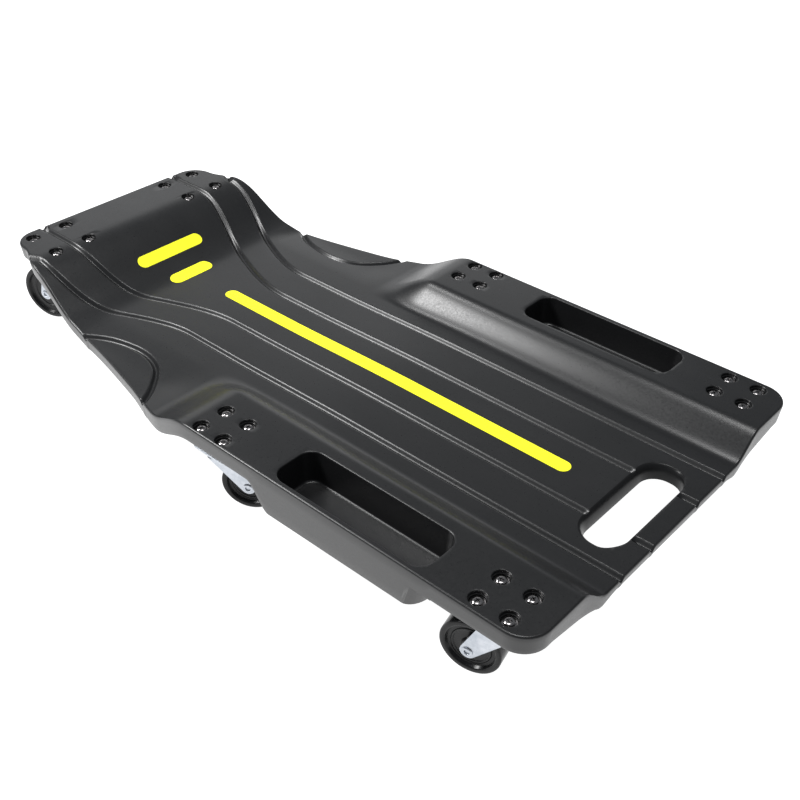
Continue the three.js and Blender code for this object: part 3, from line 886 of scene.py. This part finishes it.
def bed():
    body = solid("moulded_bed", bed_mesh(), PLASTIC)
    shift = TO_ROW.translation.x / MM
    bores = [
        moved(bore_cutter(caster), caster["pin"][0] - shift + x, caster["pin"][1] + y)
        for caster in PINS.values()
        for x, y in screw_places(caster)
    ]
    ends = [box_end_cutter(-1), box_end_cutter(1)]
    tools = joined([tray_cutter(-1), tray_cutter(1), *ends, *bores])
    cut(body, solid("bed_tools", tools, PLASTIC))
    # The slot's cut walls take the duller plastic, a painted shade.
    cut(body, solid("slot_tool", slot_cutter(), SLOT_SHADE_PLASTIC))
    smooth(body)
    return settle(body, BODY, ["bed"])


# ---- the yellow graphic

def capsule(length_from, length_to, radius, cap, place):
    """A thin strip with round ends laid on the deck; place turns (along, across) into (x, y)."""
    turns = np.radians(np.linspace(0, 90, 9))
    ends = cap * (1 - np.cos(turns))
    steps = max(2, int((length_to - length_from - 2 * cap) / DECAL["step"]))
    middle = np.linspace(length_from + cap, length_to - cap, steps + 1)[1:-1]
    along = np.concatenate([length_from + ends, middle, (length_to - ends)[::-1]])
    past = np.maximum(0, np.maximum(length_from + cap - along, along - length_to + cap))
    reach = np.maximum(radius * np.sqrt(np.maximum(0, 1 - (past / cap) ** 2)), DECAL["tip"])
    across = np.linspace(-1, 1, 9)
    u = np.repeat(along[:, None], len(across), axis=1)
    v = reach[:, None] * across[None, :]
    x, y = place(u, v)
    top = skin(x, np.abs(y)) + DECAL["lift"]
    grid = np.arange(u.size).reshape(u.shape)
    lower = grid + grid.size
    sheets = [(x, y, top), (x, y, top - DECAL["thick"])]
    points = [np.stack([part.ravel() for part in sheet], axis=1) for sheet in sheets]
    faces = grid_faces(grid, False) + grid_faces(lower, True)
    upper_loop, lower_loop = loop_of(grid), loop_of(lower)
    faces += [list(face) for face in ring_faces(lower_loop.tolist(), upper_loop.tolist())]
    return np.vstack(points), faces


def graphic(name, node, part):
    item = solid(name, part, YELLOW)
    smooth(item, 50)
    return settle(item, BODY, [node])


def graphics():
    stripe = capsule(STRIPE["from"], STRIPE["to"], STRIPE["half"], STRIPE["half"], lambda u, v: (u, v))
    graphic("printed_stripe", "centre_stripe", stripe)
    for node, bar in BARS.items():
        radius = (bar["x"][1] - bar["x"][0]) / 2
        middle = (bar["x"][1] + bar["x"][0]) / 2
        part = capsule(-bar["half"], bar["half"], radius, bar["cap"], lambda u, v, m=middle: (m + v, u))
        graphic(f"printed_{node}", node, part)


# ---- fasteners

def screw_profile(kind):
    """A pan-head screw's half section from its tip to its crown, its seat at height 0."""
    seat = kind["top"] - BORE["depth"] + WASHER["thick"] + SEAT["screw"]
    tip = kind["mount"] - PLATE["thick"] - SCREW["reach"] - seat
    shank, head, rise = SCREW["shank"], SCREW["head"], SCREW["height"] / 2
    dome = SCREW["dome"]
    profile = [(0, tip), (shank - 0.6, tip), (shank, tip + 0.8), (shank, 0)]
    profile += [(head - 0.25, 0), (head, 0.35), (head, rise)]
    for a in np.radians((20, 40, 60, 78)):
        radius = head * (dome * math.cos(a) + (1 - dome) * (1 - (a / 1.6) ** 3))
        profile.append((radius, rise * (1 + math.sin(a))))
    return [*profile, (0, SCREW["height"])]


def pan_screw(kind):
    """A pan-head screw with a cross recess."""
    screw = solid("pan_screw", turned(screw_profile(kind), 32), STEEL, ORIGIN)
    for turn in (False, True):
        rings = []
        for a, b, above in SCREW["recess"]:
            corners = [(a, b), (-a, b), (-a, -b), (a, -b)]
            z = SCREW["height"] + above
            rings.append([(-y, x, z) if turn else (x, y, z) for x, y in corners])
        cut(screw, solid("recess", stacked(rings), STEEL, ORIGIN))
    return mesh_of(smooth(screw, 32))


def washer():
    inner, outer, thick = SCREW["shank"] + WASHER["play"], WASHER["radius"], WASHER["thick"]
    corners = [(inner, 0), (outer, 0), (outer, thick), (inner, thick)]
    loop = soften(corners, 0.25, steps=2, closed=True)
    item = solid("washer", turned(loop, 36, loop=True), STEEL, ORIGIN)
    return mesh_of(smooth(item, 40))


def hex_nut():
    """A plain hexagonal nut, its top at height 0, with chamfered corners."""
    across, height, chamfer, count = NUT["flats"] / 2, NUT["height"], NUT["chamfer"], NUT["points"]
    round_end = across / math.cos(math.pi / 6) - chamfer
    bore = SCREW["shank"] + NUT["play"]
    rings = []
    for limit, z in (
        (bore, -height), (round_end, -height), (math.inf, chamfer - height),
        (math.inf, -chamfer), (round_end, 0), (bore, 0),
    ):
        ring = []
        for a in 2 * math.pi * np.arange(count) / count:
            from_flat = (a + math.pi / 6) % (math.pi / 3) - math.pi / 6
            reach = min(limit, across / math.cos(from_flat))
            ring.append((reach * math.cos(a), reach * math.sin(a), z))
        rings.append(ring)
    rows = [list(range(k * count, (k + 1) * count)) for k in range(len(rings))]
    faces = [face for low, high in zip(rows, rows[1:] + rows[:1]) for face in ring_faces(low, high)]
    points = [point for ring in rings for point in ring]
    item = solid("nut", (points, faces), STEEL, ORIGIN)
    return mesh_of(smooth(item, 28))


def fasteners():
    """Every screw with its washer above and its nut below, each turned its own way."""
    screws = {id(kind): pan_screw(kind) for kind in (SMALL, LARGE)}
    washer_mesh, nut_mesh = washer(), hex_nut()
    for name, caster in PINS.items():
        kind = KINDS[name.split("_")[0]]
        floor = kind["top"] - BORE["depth"]
        under_plate = kind["mount"] - GAP - PLATE["thick"]
        parts = (
            ("pan_screw", screws[id(kind)], floor + WASHER["thick"] + SEAT["screw"], 1),
            ("washer", washer_mesh, floor + SEAT["washer"], 1),
            ("nut", nut_mesh, under_plate - SEAT["nut"], 1.9),
        )
        for number, (x, y) in enumerate(screw_places(kind), start=1):
            turn = 0.7 * number + 0.37 * len(name)
            for part, mesh, height, spin in parts:
                spot = Vector((caster["pin"][0] + x, caster["pin"][1] + y, height)) * MM
                place = Matrix.Translation(spot) @ Matrix.Rotation(turn * spin, 4, "Z")
                item = placed(mesh, f"{part}_{name}_{number}", place)
                replaced = [f"screw_{name}_{number}"] if part == "pan_screw" else []
                settle(item, BODY, replaced)


# ---- casters

def heights(caster):
    """The heights of a caster's stack, from the bed's underside down."""
    plate_top = caster["mount"] - GAP
    plate_low = plate_top - PLATE["thick"]
    race_low = plate_low - PLATE["race"]
    crown_top = race_low - GAP
    return plate_top, plate_low, race_low, crown_top, crown_top - FORK["sheet"]


def about_axle(part, caster):
    """Lays a part turned about Z over, so that it turns about the wheel's axle."""
    points, faces = part
    laid = [(caster["trail"] + x, z, caster["radius"] + y) for x, y, z in points]
    return laid, faces


def both_ways(half):
    """A profile and its mirror image, from one end to the other."""
    return [(radius, -along) for radius, along in reversed(half)] + list(half)


def wheel_part(caster):
    """A wheel with a hub, a recessed web with a raised ring on it, and a rim with round shoulders."""
    outer, half = caster["radius"], caster["half"]
    rim, web = outer - WHEEL["rim"], half - WHEEL["recess"]
    bore, hub = AXLE["radius"] + WHEEL["play"], WHEEL["hub"]
    ring, shoulder = (hub + rim) / 2 + 2, WHEEL["round"]
    top, foot, raised = WHEEL["ring"]["half"], WHEEL["ring"]["foot"], web + WHEEL["ring"]["height"]
    face = [(bore, half - 0.4), (hub - 1, half - 0.4), (hub + 0.6, web), (ring - foot, web)]
    face += [(ring - top, raised), (ring + top, raised), (ring + foot, web)]
    face += [(rim - 1.6, web), (rim, half - 0.5), (rim + 1.1, half), (outer - shoulder, half)]
    path = soften(face, 0.7, steps=3)
    for a in np.radians((25, 50, 75, 90)):
        path.append((outer - shoulder * (1 - math.sin(a)), half - shoulder * (1 - math.cos(a))))
    loop = path + [(radius, -along) for radius, along in reversed(path)]
    return turned(loop, 72, loop=True)


def axle_part(caster):
    """An axle whose two ends are rolled over into round heads with a hollow."""
    face = caster["half"] + FORK["clear"] + FORK["sheet"] + 0.1
    end = face + AXLE["height"]
    head, hollow, bottom = AXLE["head"], AXLE["hollow"], end - AXLE["depth"]
    half = [(AXLE["radius"], face), (head - 0.6, face), (head, face + 0.5), (head - 0.8, face + 1.3)]
    half += [(hollow + 1.6, end), (hollow + 0.6, end - 0.2), (hollow, end - 0.9)]
    half += [(hollow - 0.2, bottom), (0, bottom)]
    return turned(both_ways(half), 32)


def leg_edges(caster, z):
    """The two edges of a fork's leg at height z: the hull of its crown's side and its boss."""
    crown_top = heights(caster)[3]
    turn = np.linspace(0, 2 * math.pi, 241)
    bx = caster["trail"] + FORK["boss"] * np.cos(turn)
    bz = caster["radius"] + FORK["boss"] * np.sin(turn)
    below = bz <= z + 1e-6
    share = (z - bz[below]) / (crown_top - bz[below])
    left = np.min(mix(bx[below], -caster["leg"], share))
    right = np.max(mix(bx[below], caster["leg"], share))
    return left, right


def fork_part(caster):
    """The stamped fork: one sheet bent down into two tapering legs, as inner and outer grids."""
    crown_top = heights(caster)[3]
    outside = caster["half"] + FORK["clear"] + FORK["sheet"]
    bend = FORK["bend"]
    around = caster["radius"] - FORK["boss"] * np.cos(np.radians(np.linspace(4, 90, 10)))
    straight = np.linspace(caster["radius"], crown_top - bend, 9)[1:]
    path = [(outside, z, 1, 0) for z in (*around, *straight)]
    for a in np.radians((22.5, 45, 67.5, 90)):
        ny, nz = math.cos(a), math.sin(a)
        path.append((outside - bend + bend * ny, crown_top - bend + bend * nz, ny, nz))
    across = outside - bend
    path += [(across * t, crown_top, 0, 1) for t in (0.8, 0.6, 0.4, 0.2, 0)]
    path += [(-y, z, -ny, nz) for y, z, ny, nz in reversed(path[:-1])]
    shares = np.linspace(0, 1, 13)
    outer, inner = [], []
    for y, z, ny, nz in path:
        if z < crown_top - 0.3 * bend:
            left, right = leg_edges(caster, z)
        else:
            right = max(caster["leg"], math.sqrt(max(0, caster["crown"] ** 2 - y * y)))
            left = -right
        for share in shares:
            x = mix(left, right, share)
            outer.append((x, y, z))
            inner.append((x, y - ny * FORK["sheet"], z - nz * FORK["sheet"]))
    grid = np.arange(len(outer)).reshape(len(path), len(shares))
    below = grid + grid.size
    faces = grid_faces(grid, False) + grid_faces(below, True)
    faces += [list(face) for face in ring_faces(loop_of(below).tolist(), loop_of(grid).tolist())]
    return outer + inner, faces


def plate_part(caster):
    plate_top, plate_low = heights(caster)[:2]
    a, b = (size / 2 for size in caster["plate"])
    points, _ = rounded_outline((-a, a), (-b, b), PLATE["corner"], 6)
    return stacked([[(x, y, z) for x, y in points] for z in (plate_low, plate_top)])


def race_part(caster):
    """The cup pressed into the plate, over the balls."""
    plate_low, race_low = heights(caster)[1:3]
    radius, hole = caster["race"], RACE["hole"]
    wall, corner, skirt = RACE["wall"], RACE["corner"], race_low + RACE["skirt"]
    within, under = radius - wall, plate_low - wall
    loop = [
        (radius, skirt), (radius, plate_low - corner), (radius + corner, plate_low), (hole, plate_low),
        (hole, under), (within - corner, under), (within, under - corner), (within, skirt),
    ]
    return turned(soften(loop, 0.8, steps=3, closed=True), 56, loop=True)


def ball_parts(caster):
    """The ring of balls that the fork's crown turns on."""
    size = BALL["radius"]
    height = heights(caster)[3] + size + BALL["lift"]
    ring = caster["race"] - size - BALL["play"]
    count = int(2 * math.pi * ring / (2 * size + BALL["apart"]))
    arc = [(size * math.sin(a), -size * math.cos(a)) for a in np.linspace(0, math.pi, 9)]
    ball = turned([(0, -size), *arc[1:-1], (0, size)], 14)
    spots = [2 * math.pi * k / count for k in range(count)]
    return joined([moved(ball, ring * math.cos(a), ring * math.sin(a), height) for a in spots])


def pin_part(caster):
    """The rivet that holds the fork to the plate, with a low round head below."""
    plate_top, *_, crown_low = heights(caster)
    top = crown_low - GAP
    low = top - PIN["height"]
    head, radius, end = PIN["head"], PIN["radius"], plate_top - 0.2
    profile = [(0, low), (head * 0.5, low + 0.15), (head * 0.82, low + 0.7), (head, low + 1.7)]
    profile += [(head, top), (radius, top), (radius, end - 0.6), (radius - 0.6, end), (0, end)]
    return turned(profile, 32)


def pin_hole(caster):
    """The hole through the fork's crown for the rivet."""
    crown_top, crown_low = heights(caster)[3:]
    radius, low, high = PIN["radius"] + FORK["hole_play"], crown_low - 1, crown_top + 1
    return turned([(0, low), (radius, low), (radius, high), (0, high)], 32)


def casters():
    for name, caster in PINS.items():
        place = Matrix.Translation(Vector((caster["pin"][0], caster["pin"][1], 0)) * MM)
        heading = place @ Matrix.Rotation(caster["heading"], 4, "Z")
        swivel, roller = f"swivel_{name}", f"roller_{name}"

        plate = solid(f"caster_plate_{name}", plate_part(caster), ZINC, place)
        smooth(bevelled(plate, PLATE["bevel"]))
        settle(plate, BODY, [f"top_plate_{name}"])
        race = solid(f"race_cup_{name}", race_part(caster), ZINC, place)
        settle(smooth(race))
        balls = solid(f"race_balls_{name}", ball_parts(caster), STEEL, place)
        settle(smooth(balls, 60))
        pin = solid(f"swivel_rivet_{name}", pin_part(caster), ZINC, place)
        settle(smooth(pin), BODY, [f"king_pin_{name}"])

        fork = solid(f"stamped_fork_{name}", fork_part(caster), ZINC, heading)
        cut(fork, solid("pin_hole", pin_hole(caster), ZINC, heading))
        smooth(bevelled(fork, FORK["bevel"]))
        settle(fork, swivel, [f"fork_{name}"])
        axle = solid(f"hollow_axle_{name}", about_axle(axle_part(caster), caster), ZINC, heading)
        settle(smooth(axle), swivel, [f"axle_{name}"])
        wheel = solid(f"moulded_wheel_{name}", about_axle(wheel_part(caster), caster), BLACK, heading)
        settle(smooth(wheel, 42), roller, [f"wheel_{name}"])


# ---- studio

def floor():
    half = FLOOR_HALF
    points = [(-half, -half, 0), (half, -half, 0), (half, half, 0), (-half, half, 0)]
    new_object("studio_floor", (points, [(0, 1, 2, 3)]), studio_floor(), ORIGIN)


def softbox(name, azimuth, elevation, distance, size, power):
    """A rectangular softbox that faces the bed, from a heading around it and a height above it."""
    a, e = math.radians(azimuth), math.radians(elevation)
    aim = Vector((0, 0, AIM_HEIGHT))
    towards = Vector((math.cos(e) * math.cos(a), math.cos(e) * math.sin(a), math.sin(e)))
    light = bpy.data.lights.new(name, "AREA")
    light.shape = "RECTANGLE"
    light.size, light.size_y = size
    light.energy = power
    turn = towards.to_track_quat("Z", "Y").to_matrix().to_4x4()
    placed(light, name, Matrix.Translation(aim + distance * towards) @ turn)


def studio():
    floor()
    for name, settings in SOFTBOXES.items():
        softbox(name, *settings)
    world = bpy.data.worlds.new("studio")
    world.use_nodes = True
    background = world.node_tree.nodes["Background"]
    background.inputs["Color"].default_value = SKY["colour"]
    background.inputs["Strength"].default_value = SKY["strength"]
    bpy.context.scene.world = world
    bpy.context.scene.view_settings.view_transform = "Standard"


def camera():
    """A short telephoto from the foot end's right corner, above, turned a little clockwise."""
    lens = bpy.data.cameras.new("camera")
    lens.lens = CAMERA["lens"]
    lens.sensor_width = CAMERA["sensor"]
    lens.clip_start = 0.05
    azimuth, elevation, roll = (math.radians(angle) for angle in CAMERA["turns"])
    place = TO_ROW @ Matrix.Translation(Vector(CAMERA["place"]) * MM)
    turn = Matrix.Rotation(azimuth, 4, "Z") @ Matrix.Rotation(math.pi / 2 - elevation, 4, "X")
    matrix = place @ turn @ Matrix.Rotation(roll, 4, "Z")
    bpy.context.scene.camera = placed(lens, "camera", matrix)


camera()
bed()
graphics()
fasteners()
casters()
studio()
